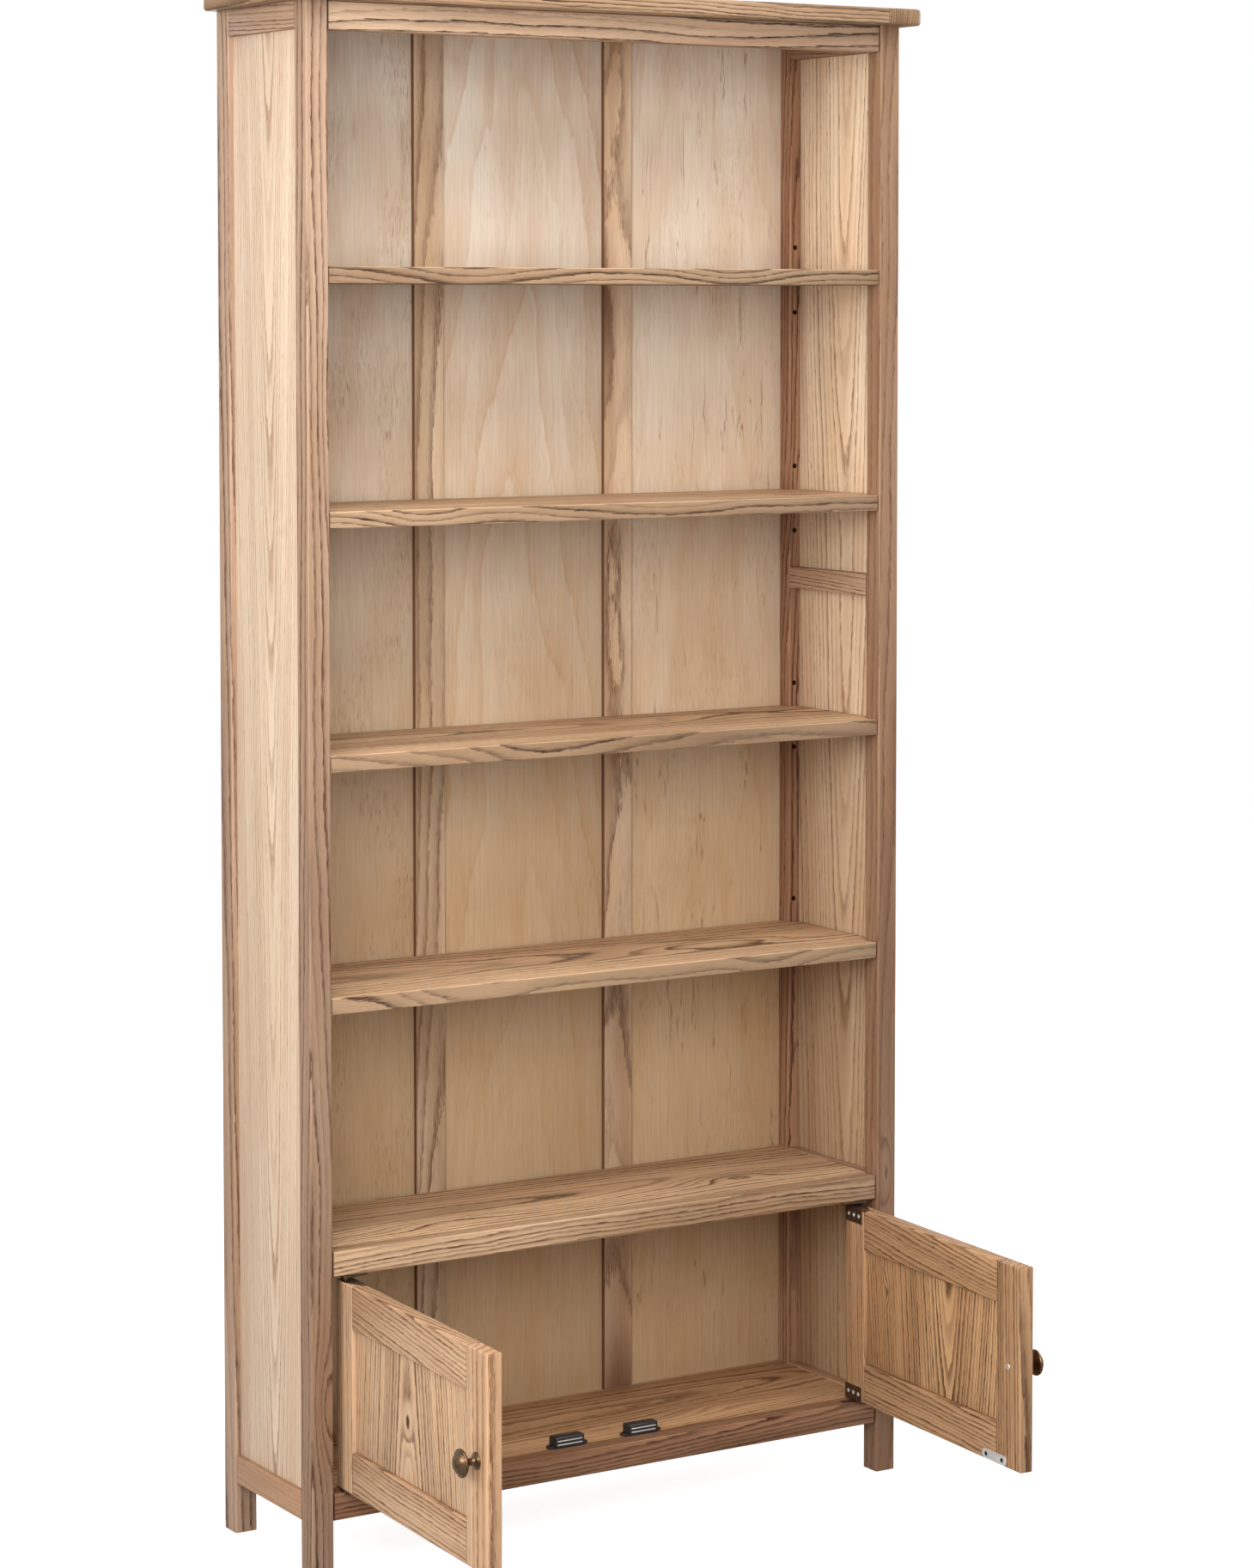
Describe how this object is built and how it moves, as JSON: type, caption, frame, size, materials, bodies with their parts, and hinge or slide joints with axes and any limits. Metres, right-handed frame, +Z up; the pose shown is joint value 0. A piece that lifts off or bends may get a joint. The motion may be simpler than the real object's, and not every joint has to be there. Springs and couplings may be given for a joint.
{
  "type": "bookcase",
  "caption": "Tall oak bookcase with loose notched shelves on pins above a low cupboard closed by two framed inset doors on pivot hinges.",
  "frame": {"origin": "floor level, at the middle of the bounding box in plan, with the doors open as at rest", "axes": "+Z up, +X to the right seen from the front, +Y from the front to the back"},
  "size_m": [0.9, 0.6187, 1.913],
  "materials": {
    "top_wood": "oiled, satin",
    "post_wood": "oiled, satin",
    "side_panel_wood": "oiled, satin",
    "rail_wood": "oiled, satin",
    "shelf_wood": "oiled, satin",
    "back_panel_wood": "oiled, satin",
    "mullion_wood": "oiled, satin",
    "door_wood": "oiled, satin",
    "door_panel_wood": "oiled, satin",
    "knob_bronze": "antique bronze, satin",
    "hinge_iron": "dark bronze, satin",
    "pin_steel": "satin",
    "strike_zinc": "bright zinc",
    "catch_plastic": "matt black",
    "pole_steel": "satin",
    "screw_steel": "darkened, satin"
  },
  "bodies": {
    "carcass": {"top_board": "top_wood", "top_left_end_board": "top_wood", "top_right_end_board": "top_wood", "front_left_post": "post_wood", "front_right_post": "post_wood", "back_left_post": "post_wood", "back_right_post": "post_wood", "left_side_panel": "side_panel_wood", "right_side_panel": "side_panel_wood", "left_side_top_rail": "rail_wood", "left_side_middle_rail": "rail_wood", "left_side_shelf_rail": "rail_wood", "left_side_bottom_rail": "rail_wood", "right_side_top_rail": "rail_wood", "right_side_middle_rail": "rail_wood", "right_side_shelf_rail": "rail_wood", "right_side_bottom_rail": "rail_wood", "front_top_rail": "rail_wood", "back_top_rail": "rail_wood", "back_bottom_rail": "rail_wood", "left_back_panel": "back_panel_wood", "centre_back_panel": "back_panel_wood", "right_back_panel": "back_panel_wood", "left_mullion": "mullion_wood", "right_mullion": "mullion_wood", "shelf_1": "shelf_wood", "shelf_2": "shelf_wood", "shelf_3": "shelf_wood", "shelf_4": "shelf_wood", "shelf_pins": "pin_steel", "fixed_shelf": "shelf_wood", "fixed_shelf_front_rail": "rail_wood", "bottom_shelf": "shelf_wood", "bottom_front_rail": "rail_wood", "hinge_frame_plates": "hinge_iron", "hinge_pins": "pin_steel", "catch_bodies": "catch_plastic", "catch_pole_plates": "pole_steel", "catch_screws": "screw_steel"},
    "left_door": {"left_door_hinge_stile": "door_wood", "left_door_free_stile": "door_wood", "left_door_top_rail": "door_wood", "left_door_bottom_rail": "door_wood", "left_door_panel": "door_panel_wood", "left_door_knob": "knob_bronze", "left_door_strike_plate": "strike_zinc", "left_door_hinge_plates": "hinge_iron", "left_door_screws": "screw_steel"},
    "right_door": {"right_door_hinge_stile": "door_wood", "right_door_free_stile": "door_wood", "right_door_top_rail": "door_wood", "right_door_bottom_rail": "door_wood", "right_door_panel": "door_panel_wood", "right_door_knob": "knob_bronze", "right_door_strike_plate": "strike_zinc", "right_door_hinge_plates": "hinge_iron", "right_door_screws": "screw_steel"}
  },
  "joints": [
    {"name": "left_door_hinge", "type": "hinge", "parent": "carcass", "child": "left_door", "pos_m": [-0.3815, 0.07091, 0.228], "axis": [0, 0, 1], "range_deg": [-57.5, 92.5]},
    {"name": "right_door_hinge", "type": "hinge", "parent": "carcass", "child": "right_door", "pos_m": [0.3815, 0.07091, 0.228], "axis": [0, 0, -1], "range_deg": [-62.5, 87.5]}
  ]
}
